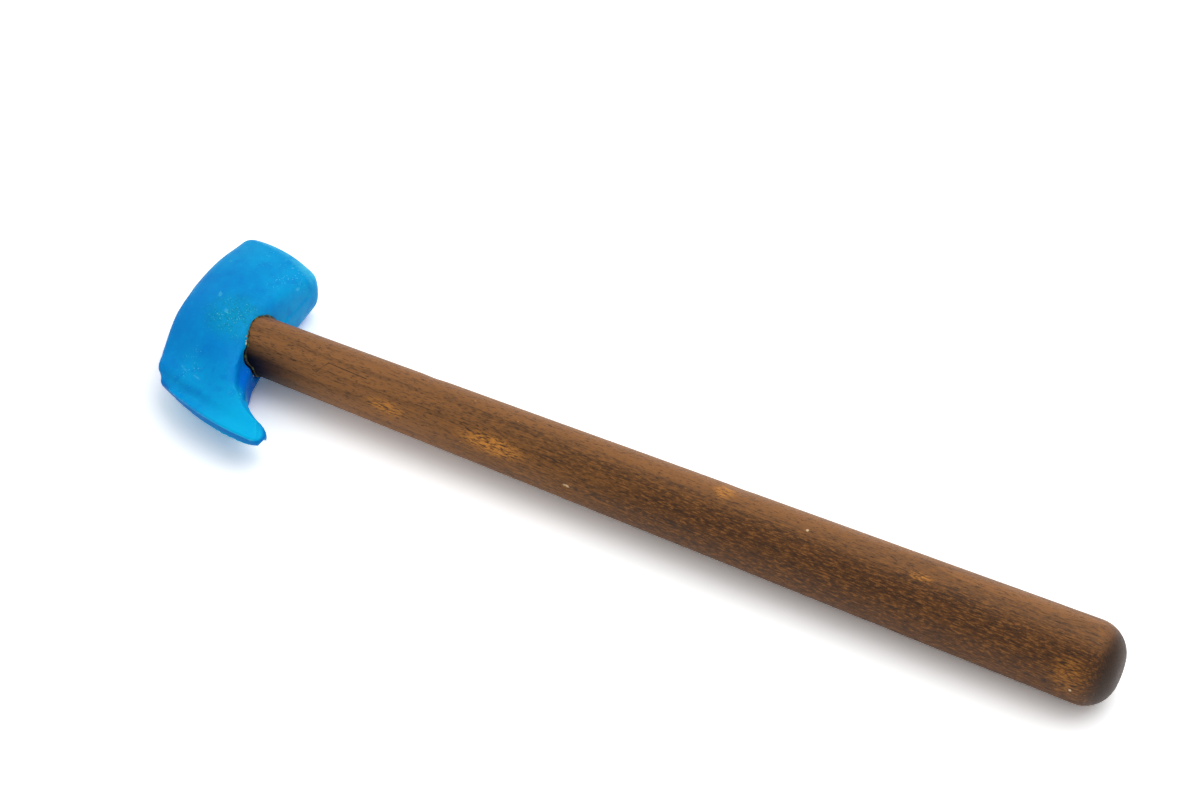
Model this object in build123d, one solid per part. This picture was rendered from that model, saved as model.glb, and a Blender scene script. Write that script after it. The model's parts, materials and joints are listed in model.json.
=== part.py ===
"""Hatchet-pattern hammer: one cast head, wedged and bonded onto a turned, tapered wooden handle.

The hammer lies on its side, as it does when it is put down on a bench. +X runs along the handle
from the head to the butt, +Y from the blade to the poll, and +Z is up. The origin is on the flat
lower cheek, below the middle of the eye.

The head came out of a two-part mould. Each half is a loft through the same outline, and the lower
half is turned a little out of register with the upper one, which leaves a step along the parting
line that grows towards the blade.
"""
from build123d import *
from math import radians, sqrt, tan
from typing import NamedTuple
import os

# ---- driving dimensions, in millimetres and degrees ----

# handle
BUTT_RADIUS = 14.0
MOUTH_RADIUS = 10.4
HANDLE_REACH = 322.5          # from the eye's mouth to the end of the butt
BUTT_CORNER = 10.5            # rounding between the side and the end grain
BUTT_DOME = 2.0               # how far the end grain is crowned

# tenon and the adhesive round it
TENON_LENGTH = 40.0           # blank length from the mouth, before the end is sanded off
FLARE_START = 24.0            # depth from which the wedge spreads the tenon
FLARE_DEPTH = 31.0            # where the tenon has spread to its full width
FLARE_RADIUS = 11.0
TENON_PROUD = 0.4             # how far the tenon stands out of the upper half of the head
TENON_CROWN_RADIUS = 19.0     # the sanded end is rounded over, like the side of the head
TENON_EDGE = 1.0
BOND_GAP = 0.3
BOND_MOUTH_DEPTH = 3.0        # adhesive fills the gap from here to where the tenon flares
COLLAR_REACH = 12.0           # how far past the mouth the head is cleared round the shaft

# wedge, driven into a saw kerf in the tenon
WEDGE_DEPTH = 21.0
WEDGE_HEAD = 3.4              # thickness at the driven end
WEDGE_TOE = 1.0               # thickness at the tip, which is also the kerf's width
KERF_BELOW_WEDGE = 4.0

# head; u runs across it and v along it, from the blade to the poll
MOUTH_X = 16.0                # x of the eye's mouth, where the handle comes out of the head
HALF_THICKNESS = 14.0
HEAD_LEAN = 9.6               # the head's length leans this much from square to the handle
MOULD_TURN = 1.1              # the lower half is turned this much about the poll, out of register
POLL_END = 37.0               # v of the end of the casting
FACE_DRESSING = 0.4           # taken off the end to make one flat striking face
FACE_TURN = 5.5               # the striking face is turned this much, almost square to the swing
FACE_TURN_START = 12.0        # v at which the sections begin to turn towards the striking face
POLL_MIDDLE = -23.0           # u of the middle of the striking face
POLL_EDGE = 5.0               # rounding round the flat striking face
OUTER_RADIUS = 126.0          # the long curve of the side away from the handle
OUTER_CENTRE = (86.4, 38.5)
BEARD_RADIUS = 32.0           # the hollow between the handle and the blade's heel
BEARD_CENTRE = (35.1, 1.0)
BEARD_BITE = 0.4              # the hollow's cut is this much deeper than the side it runs out of
NECK_START = -10.5            # v at which the inner side begins to straighten towards the poll
NECK_LENGTH = 36.0
HEEL_SPREAD = 0.06            # curvature of the blank past the neck, before the hollow is cut
BLADE_RADIUS = 116.0          # the curved edge of the blade
BLADE_CENTRE = (15.5, 76.4)
HEEL_END = 35.2               # u of the blunt end of the heel
UPPER_HEEL_WEAR = 4.6         # worn off the heel's corner, on the side of the hollow
LOWER_HEEL_WEAR = 2.8
SWELL = 1.4                   # fullness of the lower half's inner side, and of both halves' poll
UPPER_BITE = 0.6              # the upper half's hollow is cut this much further still
SWELL_START = -2.0            # v between which the upper half's inner side swells out
SWELL_END = 16.0

# pull of the section curves' control points
CROWN_REACH = 0.3             # along the crown, as a share of its width
ROLL_REACH = 0.6              # along each rolled shoulder, as a share of its width
WALL_REACH = 0.72             # up each side wall, as a share of its height


class Half(NamedTuple):
    """Heights of one half of the head above the parting plane, at one station."""
    crown: float
    outer_shoulder: float
    inner_shoulder: float


class Station(NamedTuple):
    """One cross-section of the head, and the widths over which its shoulders roll over."""
    v: float
    outer_roll: float
    inner_roll: float
    upper: Half
    lower: Half


STATIONS = [
    Station(-45.0, 1.5, 2.5, Half(0.9, 0.7, 0.7), Half(2.7, 2.6, 4.2)),
    Station(-38.0, 1.5, 2.5, Half(1.5, 1.2, 1.2), Half(3.6, 3.4, 5.2)),
    Station(-32.0, 2.0, 2.5, Half(2.5, 2.1, 1.8), Half(5.6, 4.9, 6.2)),
    Station(-26.0, 2.4, 2.5, Half(4.2, 3.6, 2.8), Half(7.7, 7.0, 7.6)),
    Station(-20.0, 3.2, 2.5, Half(7.6, 6.4, 4.4), Half(10.4, 9.8, 10.0)),
    Station(-14.0, 4.4, 3.0, Half(11.0, 9.8, 7.6), Half(12.8, 12.0, 12.3)),
    Station(-8.0, 5.4, 3.6, Half(13.1, 11.8, 10.8), Half(13.9, 13.1, 13.3)),
    Station(-1.0, 6.2, 4.6, Half(13.9, 12.5, 12.5), Half(14.25, 13.5, 13.6)),
    Station(8.0, 6.4, 5.2, Half(14.0, 12.7, 12.7), Half(14.25, 13.5, 13.6)),
    Station(20.0, 6.4, 6.2, Half(13.6, 12.4, 11.8), Half(14.25, 13.5, 13.6)),
    Station(30.0, 6.4, 7.0, Half(12.2, 11.4, 9.8), Half(13.6, 12.4, 12.5)),
    Station(37.0, 6.4, 7.4, Half(10.9, 10.4, 8.2), Half(12.9, 11.4, 11.5)),
]

ROOM = 400.0                  # larger than the hammer, for cutting away everything to one side


# ---- the head's outline ----

def outer_side(v: float) -> float:
    """u of the side away from the handle."""
    centre_u, centre_v = OUTER_CENTRE
    return centre_u - sqrt(OUTER_RADIUS**2 - (v - centre_v)**2)


def inner_side(v: float) -> float:
    """u of the side that faces the butt, before the hollow behind the blade is cut."""
    centre_u, centre_v = BEARD_CENTRE
    neck_u = centre_u - sqrt(BEARD_RADIUS**2 - (NECK_START - centre_v)**2)
    neck_slope = (NECK_START - centre_v) / (centre_u - neck_u)
    poll_slope = -tan(radians(HEAD_LEAN))
    along = v - NECK_START
    if along < 0.0:
        return neck_u + neck_slope * along + HEEL_SPREAD * along**2
    bend = (poll_slope - neck_slope) / (2.0 * NECK_LENGTH)
    bent = min(along, NECK_LENGTH)
    return neck_u + neck_slope * bent + bend * bent**2 + poll_slope * (along - bent)


def swell(v: float) -> float:
    """How much further out the upper half's inner side is at v, easing in and out."""
    share = min(max((v - SWELL_START) / (SWELL_END - SWELL_START), 0.0), 1.0)
    return SWELL * share**2 * (3.0 - 2.0 * share)


def face_turn(v: float) -> float:
    """Slope of a section across the head, which grows towards the turned striking face."""
    share = max((v - FACE_TURN_START) / (POLL_END - FACE_TURN_START), 0.0)
    return tan(radians(FACE_TURN)) * share


def plan_outline(fullness: float, heel_wear: float) -> Face:
    """The half seen from above, which the blade's edge, the blunt heel and the hollow bound."""
    beside_heel = Pos(HEEL_END - ROOM / 2.0, 0.0) * Rectangle(ROOM, ROOM)
    above_edge = Pos(*BLADE_CENTRE) * Circle(BLADE_RADIUS)
    beard_u, beard_v = BEARD_CENTRE
    hollow = Pos(beard_u - BEARD_BITE + fullness, beard_v) * Circle(BEARD_RADIUS)
    heel_corner = Pos(HEEL_END, beard_v - BEARD_RADIUS) * Rot(0.0, 0.0, 45.0)
    past_wear = Pos(heel_wear * (1.0 - sqrt(0.5))) * Rectangle(2.0 * heel_wear, 4.0 * heel_wear)
    worn_corner = heel_corner * past_wear
    pieces = (beside_heel & above_edge) - hollow - worn_corner
    return pieces.faces().sort_by(SortBy.AREA)[-1]


# ---- the head ----

def cross_section(station: Station, half: Half, inner: float) -> Face:
    """Section of one half: the parting line, two rolled shoulders and the crown between them."""
    outer = outer_side(station.v)
    outer_edge = outer + station.outer_roll
    inner_edge = inner - station.inner_roll
    reach = CROWN_REACH * (inner_edge - outer_edge)
    # the middle of a cubic is an eighth of each end and three eighths of each inner point
    peak = (8.0 * half.crown - half.outer_shoulder - half.inner_shoulder) / 6.0
    slope = face_turn(station.v)

    def at(u: float, height: float) -> Vector:
        return Vector(u, station.v + slope * (u - POLL_MIDDLE), height)

    def shoulder(edge: float, foot: float, height: float) -> Bezier:
        run = ROLL_REACH * (foot - edge)
        drop = abs(run) * (peak - height) / reach
        return Bezier(
            at(edge, height),
            at(edge + run, height - drop),
            at(foot, WALL_REACH * height),
            at(foot, 0.0),
        )

    crown = Bezier(
        at(outer_edge, half.outer_shoulder),
        at(outer_edge + reach, peak),
        at(inner_edge - reach, peak),
        at(inner_edge, half.inner_shoulder),
    )
    outer_roll = shoulder(outer_edge, outer, half.outer_shoulder)
    inner_roll = shoulder(inner_edge, inner, half.inner_shoulder)
    parting = Line(at(inner, 0.0), at(outer, 0.0))
    return make_face([outer_roll, crown, inner_roll, parting])


def half_of_head(sections: list[Face], outline: Face) -> Part:
    """One half of the casting, standing on the parting plane."""
    blank = loft(sections)
    striking_face = blank.faces().sort_by(Axis.Y)[-1]
    rim = striking_face.edges().filter_by(lambda edge: edge.center().Z > POLL_EDGE / 2.0)
    rounded = fillet(rim, POLL_EDGE)
    return rounded & extrude(outline, 2.0 * HALF_THICKNESS)


def upper_half() -> Part:
    """The half that faces up, whose inner side swells towards the poll."""
    sections = [
        cross_section(station, station.upper, inner_side(station.v) + swell(station.v))
        for station in STATIONS
    ]
    return half_of_head(sections, plan_outline(-UPPER_BITE, UPPER_HEEL_WEAR))


def lower_half() -> Part:
    """The half that faces the bench: fuller inside, and turned a little about the poll."""
    sections = [
        cross_section(station, station.lower, inner_side(station.v) + SWELL)
        for station in STATIONS
    ]
    upright = half_of_head(sections, plan_outline(SWELL, LOWER_HEEL_WEAR))
    pivot = Pos(POLL_MIDDLE, POLL_END)
    return pivot * Rot(0.0, 0.0, MOULD_TURN) * pivot.inverse() * mirror(upright, about=Plane.XY)


def placed(shape: Part) -> Part:
    """Moves a shape from the head's own frame into the hammer's."""
    return Pos(MOUTH_X, 0.0, HALF_THICKNESS) * Rot(0.0, 0.0, -HEAD_LEAN) * shape


def head_blank() -> Part:
    """Both halves joined and the striking face dressed flat, before the eye is bored."""
    face_plane = Pos(POLL_MIDDLE, POLL_END - FACE_DRESSING) * Rot(0.0, 0.0, FACE_TURN)
    past_face = face_plane * Pos(0.0, ROOM / 2.0, 0.0) * Box(ROOM, ROOM, ROOM)
    under_bench = Pos(0.0, 0.0, -ROOM / 2.0) * Box(ROOM, ROOM, ROOM)
    return placed(upper_half() + lower_half() - past_face) - under_bench


# ---- the handle, the eye that holds it, and what fixes it there ----

def along_handle(shape: Part) -> Part:
    """Moves a shape whose X axis is the handle's axis, with the mouth at zero, into place."""
    return Pos(MOUTH_X, 0.0, HALF_THICKNESS) * shape


def shaft_radius(distance: float) -> float:
    """Radius of the handle's taper at a distance from the mouth."""
    return MOUTH_RADIUS + (BUTT_RADIUS - MOUTH_RADIUS) * distance / (HANDLE_REACH - BUTT_DOME)


def tenon_profile() -> list[tuple[float, float]]:
    """Position and radius along the tenon, from its far end to the collar past the mouth."""
    return [
        (-TENON_LENGTH, FLARE_RADIUS),
        (-FLARE_DEPTH, FLARE_RADIUS),
        (-FLARE_START, MOUTH_RADIUS),
        (0.0, MOUTH_RADIUS),
        (COLLAR_REACH, shaft_radius(COLLAR_REACH)),
    ]


def turned(profile: list[tuple[float, float]]) -> Part:
    """Turns a closed profile of depths and radii about the handle's axis."""
    first_x = profile[0][0]
    last_x = profile[-1][0]
    closed = Polyline((first_x, 0.0), *profile, (last_x, 0.0), (first_x, 0.0))
    return revolve(make_face(closed), axis=Axis.X)


def shaft() -> Part:
    """The handle from the mouth to the butt, with its rounded end."""
    butt_x = HANDLE_REACH - BUTT_DOME
    side = Line((0.0, MOUTH_RADIUS), (butt_x, BUTT_RADIUS))
    end_grain = ThreePointArc(
        (butt_x, BUTT_RADIUS),
        (HANDLE_REACH, 0.0),
        (butt_x, -BUTT_RADIUS),
    )
    other_side = Line((butt_x, -BUTT_RADIUS), (0.0, -MOUTH_RADIUS))
    mouth_end = Line((0.0, -MOUTH_RADIUS), (0.0, MOUTH_RADIUS))
    whole = make_face([side, end_grain, other_side, mouth_end])
    corners = whole.vertices().filter_by(lambda corner: corner.X > butt_x / 2.0)
    rounded = fillet(corners, BUTT_CORNER)
    half_profile = rounded & (Pos(0.0, ROOM / 2.0) * Rectangle(2.0 * ROOM, ROOM))
    return revolve(half_profile, axis=Axis.X)


def bond_space(mouth_depth: float) -> Part:
    """The thin space round the straight part of the tenon, up to a depth below the mouth."""
    length = FLARE_START - mouth_depth
    ring = Circle(MOUTH_RADIUS + BOND_GAP) - Circle(MOUTH_RADIUS)
    return Pos(-FLARE_START, 0.0, 0.0) * extrude(Plane.YZ * ring, length)


def mouth_clearance() -> Part:
    """Clears the head round the shaft where its side leans past the mouth."""
    collar = [
        (0.0, MOUTH_RADIUS + BOND_GAP),
        (COLLAR_REACH, shaft_radius(COLLAR_REACH) + BOND_GAP),
    ]
    return turned(collar)


def beyond_tenon() -> Part:
    """What is sanded off the tenon's end, so that it follows the head's outer side both ways."""
    outermost = OUTER_RADIUS + TENON_PROUD
    crown = Pos(outermost - TENON_CROWN_RADIUS, 0.0) * Circle(TENON_CROWN_RADIUS)
    above_axis = Pos(ROOM / 2.0, 0.0) * Rectangle(ROOM, 2.0 * HALF_THICKNESS)
    barrel = revolve(Plane.XZ * (crown & above_axis), axis=Axis.Z)
    hub = Cylinder(outermost - TENON_CROWN_RADIUS, 2.0 * HALF_THICKNESS)
    kept = placed(Pos(*OUTER_CENTRE) * (barrel + hub))
    beside_tenon = Box(ROOM, 4.0 * FLARE_RADIUS, 2.0 * HALF_THICKNESS)
    return Pos(-ROOM / 2.0, 0.0, HALF_THICKNESS) * beside_tenon - kept


def handle_before_kerf() -> Part:
    """Shaft and tenon in one piece, with the tenon's end sanded and its edge eased."""
    rough = along_handle(turned(tenon_profile()) + shaft()) - beyond_tenon()
    end = rough.faces().sort_by(Axis.X)[0]
    return fillet(end.edges(), TENON_EDGE)


def wedge_slab() -> Part:
    """The wedge before it is trimmed to the tenon; it is as wide as the tenon and lies flat."""
    driven_x = -TENON_LENGTH
    tip_x = -FLARE_DEPTH + WEDGE_DEPTH
    taper = Polyline(
        (driven_x, WEDGE_HEAD / 2.0),
        (tip_x, WEDGE_TOE / 2.0),
        (tip_x, -WEDGE_TOE / 2.0),
        (driven_x, -WEDGE_HEAD / 2.0),
        (driven_x, WEDGE_HEAD / 2.0),
    )
    flat = extrude(Plane.XZ * make_face(taper), FLARE_RADIUS * 2.0, both=True)
    return along_handle(flat)


def kerf_end() -> Part:
    """The saw cut that stays open below the wedge."""
    tip_x = -FLARE_DEPTH + WEDGE_DEPTH
    slot = Box(KERF_BELOW_WEDGE, FLARE_RADIUS * 4.0, WEDGE_TOE)
    return along_handle(Pos(tip_x + KERF_BELOW_WEDGE / 2.0, 0.0, 0.0) * slot)


def build() -> dict[str, Part]:
    """All the pieces, by the name of their node."""
    eye = along_handle(turned(tenon_profile()) + bond_space(0.0) + mouth_clearance())
    whole_handle = handle_before_kerf()
    slab = wedge_slab()
    return {
        "head": head_blank() - eye,
        "handle": whole_handle - slab - kerf_end(),
        "eye_wedge": slab & whole_handle,
        "adhesive": along_handle(bond_space(BOND_MOUTH_DEPTH)),
    }


def main() -> None:
    """Writes one STEP file for each piece."""
    os.makedirs("parts", exist_ok=True)
    for name, shape in build().items():
        export_step(shape, f"parts/{name}.step")


main()
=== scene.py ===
"""Looks, light and camera for the hatchet-pattern hammer.

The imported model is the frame: +X runs along the handle from the head to the butt, +Y from the
blade to the poll, and +Z is up out of the bench. Sizes are in millimetres where a name ends in
_mm, and mm() turns them into Blender's metres.
"""

import json
import logging
import math
import random
from dataclasses import dataclass
from enum import Enum

import bmesh
import bpy
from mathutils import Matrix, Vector, noise
from mathutils.bvhtree import BVHTree

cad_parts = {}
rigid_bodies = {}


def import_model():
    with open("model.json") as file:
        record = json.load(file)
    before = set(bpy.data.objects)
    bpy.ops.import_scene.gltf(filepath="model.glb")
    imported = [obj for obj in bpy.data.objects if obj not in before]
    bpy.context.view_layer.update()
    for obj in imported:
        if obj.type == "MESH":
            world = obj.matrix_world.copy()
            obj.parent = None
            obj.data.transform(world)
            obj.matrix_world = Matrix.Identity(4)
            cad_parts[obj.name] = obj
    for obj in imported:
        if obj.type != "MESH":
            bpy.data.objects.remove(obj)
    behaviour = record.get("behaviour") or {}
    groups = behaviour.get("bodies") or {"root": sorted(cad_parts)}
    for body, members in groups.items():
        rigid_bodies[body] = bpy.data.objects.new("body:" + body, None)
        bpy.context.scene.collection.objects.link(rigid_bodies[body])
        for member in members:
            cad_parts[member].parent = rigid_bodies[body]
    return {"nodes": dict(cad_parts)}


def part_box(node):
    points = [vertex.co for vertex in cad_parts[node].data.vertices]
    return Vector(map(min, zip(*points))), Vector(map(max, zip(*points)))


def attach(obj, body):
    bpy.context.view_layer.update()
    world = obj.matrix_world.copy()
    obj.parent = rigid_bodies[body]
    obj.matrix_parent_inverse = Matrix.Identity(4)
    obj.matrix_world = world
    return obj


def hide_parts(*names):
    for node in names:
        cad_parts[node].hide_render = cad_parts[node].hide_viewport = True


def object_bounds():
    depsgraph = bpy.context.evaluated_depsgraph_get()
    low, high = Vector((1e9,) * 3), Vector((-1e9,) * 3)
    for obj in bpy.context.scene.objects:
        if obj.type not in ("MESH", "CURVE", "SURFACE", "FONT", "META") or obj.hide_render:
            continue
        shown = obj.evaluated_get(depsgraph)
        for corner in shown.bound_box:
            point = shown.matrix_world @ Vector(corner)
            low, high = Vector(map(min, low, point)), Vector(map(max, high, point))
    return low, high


log = logging.getLogger("hammer")

Colour = tuple[float, float, float, float]
Point = tuple[float, float, float]
Spot = tuple[Point, Point, float]  # two places or sizes in mm, and one number
Limits = tuple[float, float]
Pit = tuple[Vector, float]  # middle and radius in metres
Shape = bmesh.types.BMesh
Vertex = bmesh.types.BMVert
Piece = bpy.types.Object
Mesh = bpy.types.Mesh
Material = bpy.types.Material
Socket = bpy.types.NodeSocket
Node = bpy.types.Node
Tree = bpy.types.NodeTree
Fade = tuple[Node | Socket, float, float]  # a value, and where its share is 0 and 1
Share = float | Node | Socket | Fade
Relief = tuple[Share, float, float]  # height, strength, and depth in mm


def clear_startup_scene() -> None:
    """Removes the cube, lamp and camera that a fresh Blender starts with."""
    for leftover in list(bpy.data.objects):
        bpy.data.objects.remove(leftover)


clear_startup_scene()
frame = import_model()
CAD_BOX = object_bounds()
HEAD_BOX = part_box("head")
HANDLE_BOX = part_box("handle")
AXIS_Z = (HANDLE_BOX[0].z + HANDLE_BOX[1].z) / 2.0  # height of the handle's axis
BODY = "root"
WELD_MM = 0.005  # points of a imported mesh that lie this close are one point
PARTING_MM = 14.0  # height at which the two halves of the mould met
FAR_MM = 1000.0  # further than any point of the hammer


# ---- units, colours and nodes ----

def mm(value: float) -> float:
    """Millimetres as metres."""
    return value / 1000.0


def mm_vector(values: Point) -> Vector:
    """A point in millimetres as a vector in metres."""
    return Vector([mm(value) for value in values])


def per_mm(size: float) -> float:
    """Scale of a pattern whose features are this many millimetres across."""
    return 1.0 / mm(size)


def colour(hex_code: str) -> Colour:
    """An sRGB hex colour such as "#0090D0" as linear red, green, blue and alpha."""
    channels = [int(hex_code[at:at + 2], 16) / 255.0 for at in (1, 3, 5)]
    linear = [c / 12.92 if c <= 0.04045 else ((c + 0.055) / 1.055) ** 2.4 for c in channels]
    return (*linear, 1.0)


def add_node(
    tree: Tree,
    kind: str,
    inputs: dict[str | int, object] | None = None,
    stops: list[tuple[float, Colour]] | None = None,
    **settings: object,
) -> Node:
    """Adds a shader node with its settings, inputs and links.

    Args:
        tree: The node tree that gets the node.
        kind: Blender's name for the node type, after "ShaderNode".
        inputs: Input name or number, and the value, socket or node that feeds it.
        stops: Positions and colours of a colour ramp.
        **settings: Properties of the node.

    Returns:
        The new node.
    """
    node = tree.nodes.new("ShaderNode" + kind)
    for name, value in settings.items():
        setattr(node, name, value)
    for name, value in (inputs or {}).items():
        if isinstance(name, int):
            socket = node.inputs[name]
        else:
            socket = next(each for each in node.inputs if each.enabled and each.name == name)
        if isinstance(value, Node):
            value = next(each for each in value.outputs if each.enabled)
        if isinstance(value, Socket):
            tree.links.new(value, socket)
        else:
            socket.default_value = value
    for number, (position, shade) in enumerate(stops or []):
        ramp = node.color_ramp.elements
        element = ramp[number] if number < len(ramp) else ramp.new(position)
        element.position = position
        element.color = shade
    return node


class Paint:
    """A material whose colour is built up in coats over an undercoat."""

    def __init__(self, name: str, undercoat: str) -> None:
        """Starts a material.

        Args:
            name: Name of the material.
            undercoat: Its first colour.
        """
        self.material = bpy.data.materials.new(name)
        self.material.use_nodes = True
        self.tree = self.material.node_tree
        self.shader = self.tree.nodes["Principled BSDF"]
        self.place = add_node(self.tree, "TexCoord").outputs["Object"]
        self.base: Colour | Node = colour(undercoat)

    def mask(self, *shares: Share) -> float | Node | Socket:
        """Multiplies shares from 0 to 1 into one.

        Args:
            *shares: Each is a number, the output of a node, or a fade, which rises smoothly
                from 0 at its first limit to 1 at its second.

        Returns:
            Their product.
        """
        joined = None
        for share in shares:
            if isinstance(share, tuple):
                value, none, full = share
                share = add_node(self.tree, "MapRange", {
                    "Value": value, "From Min": none, "From Max": full,
                }, interpolation_type="SMOOTHSTEP")
            joined = share if joined is None else add_node(
                self.tree, "Math", {0: joined, 1: share}, operation="MULTIPLY")
        return joined

    def coat(self, shade: str | Node, *shares: Share) -> None:
        """Lays a colour over the coats below it, as thickly as the mask of the shares."""
        above = colour(shade) if isinstance(shade, str) else shade
        self.base = add_node(self.tree, "Mix", {
            "Factor": self.mask(*shares), "A": self.base, "B": above}, data_type="RGBA")

    def patch(self, centre_mm: Point, reach_mm: Point, soft: float) -> Fade:
        """A rounded patch on the surface.

        Args:
            centre_mm: Middle of the patch.
            reach_mm: Half its size along each axis.
            soft: Share of the reach over which its border fades.

        Returns:
            A fade that is 1 inside and 0 outside.
        """
        tree = self.tree
        offset = add_node(tree, "VectorMath", {0: self.place, 1: mm_vector(centre_mm)},
                          operation="SUBTRACT")
        scaled = add_node(tree, "VectorMath", {0: offset, 1: mm_vector(reach_mm)},
                          operation="DIVIDE")
        length = add_node(tree, "VectorMath", {0: scaled}, operation="LENGTH")
        return length.outputs["Value"], 1.0, 1.0 - soft

    def hairline(self, start_mm: Point, end_mm: Point, width_mm: float) -> Fade:
        """A fine line from one point of the surface to another.

        Args:
            start_mm: One end of the line.
            end_mm: The other end.
            width_mm: How far its faint border reaches to each side.

        Returns:
            A fade that is 1 on the line and 0 beside it.
        """
        tree, start = self.tree, mm_vector(start_mm)
        along = mm_vector(end_mm) - start
        offset = add_node(tree, "VectorMath", {0: self.place, 1: start}, operation="SUBTRACT")
        dot = add_node(tree, "VectorMath", {0: offset, 1: along / along.length_squared},
                       operation="DOT_PRODUCT")
        share = add_node(tree, "Clamp", {"Value": dot.outputs["Value"]})
        foot = add_node(tree, "VectorMath", {0: along, "Scale": share}, operation="SCALE")
        aside = add_node(tree, "VectorMath", {0: offset, 1: foot}, operation="SUBTRACT")
        distance = add_node(tree, "VectorMath", {0: aside}, operation="LENGTH")
        return distance.outputs["Value"], mm(width_mm), mm(width_mm) / 4.0

    def finish(
        self, uneven: Node, roughness: Limits, *reliefs: Relief, **values: float | Point,
    ) -> Material:
        """Joins the colour, the roughness and the relief to the shader.

        Args:
            uneven: Pattern that the roughness follows.
            roughness: Roughness where the pattern is 0 and where it is 1.
            *reliefs: Layers of relief, the coarsest first.
            **values: The shader's other inputs, with _ for a space, the same all over.

        Returns:
            The finished material.
        """
        rough = add_node(self.tree, "MapRange", {
            "Value": uneven, "To Min": roughness[0], "To Max": roughness[1]})
        inputs, join = self.shader.inputs, self.tree.links.new
        join(next(each for each in self.base.outputs if each.enabled), inputs["Base Color"])
        join(rough.outputs[0], inputs["Roughness"])
        below = {}
        for height, strength, depth_mm in reliefs:
            below = {"Normal": add_node(self.tree, "Bump", {
                "Height": self.mask(height), "Strength": strength, "Distance": mm(depth_mm),
                **below})}
        join(below["Normal"].outputs[0], inputs["Normal"])
        for name, value in values.items():
            inputs[name.replace("_", " ")].default_value = value
        return self.material


# ---- finishes ----

class WoodCut(Enum):
    """How a wooden piece was cut from the log, by the way across its growth rings."""
    FLAT_SAWN = (0.0, 0.3, 0.95)
    END_GRAIN = (0.2, 0.75, 0.6)


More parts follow.
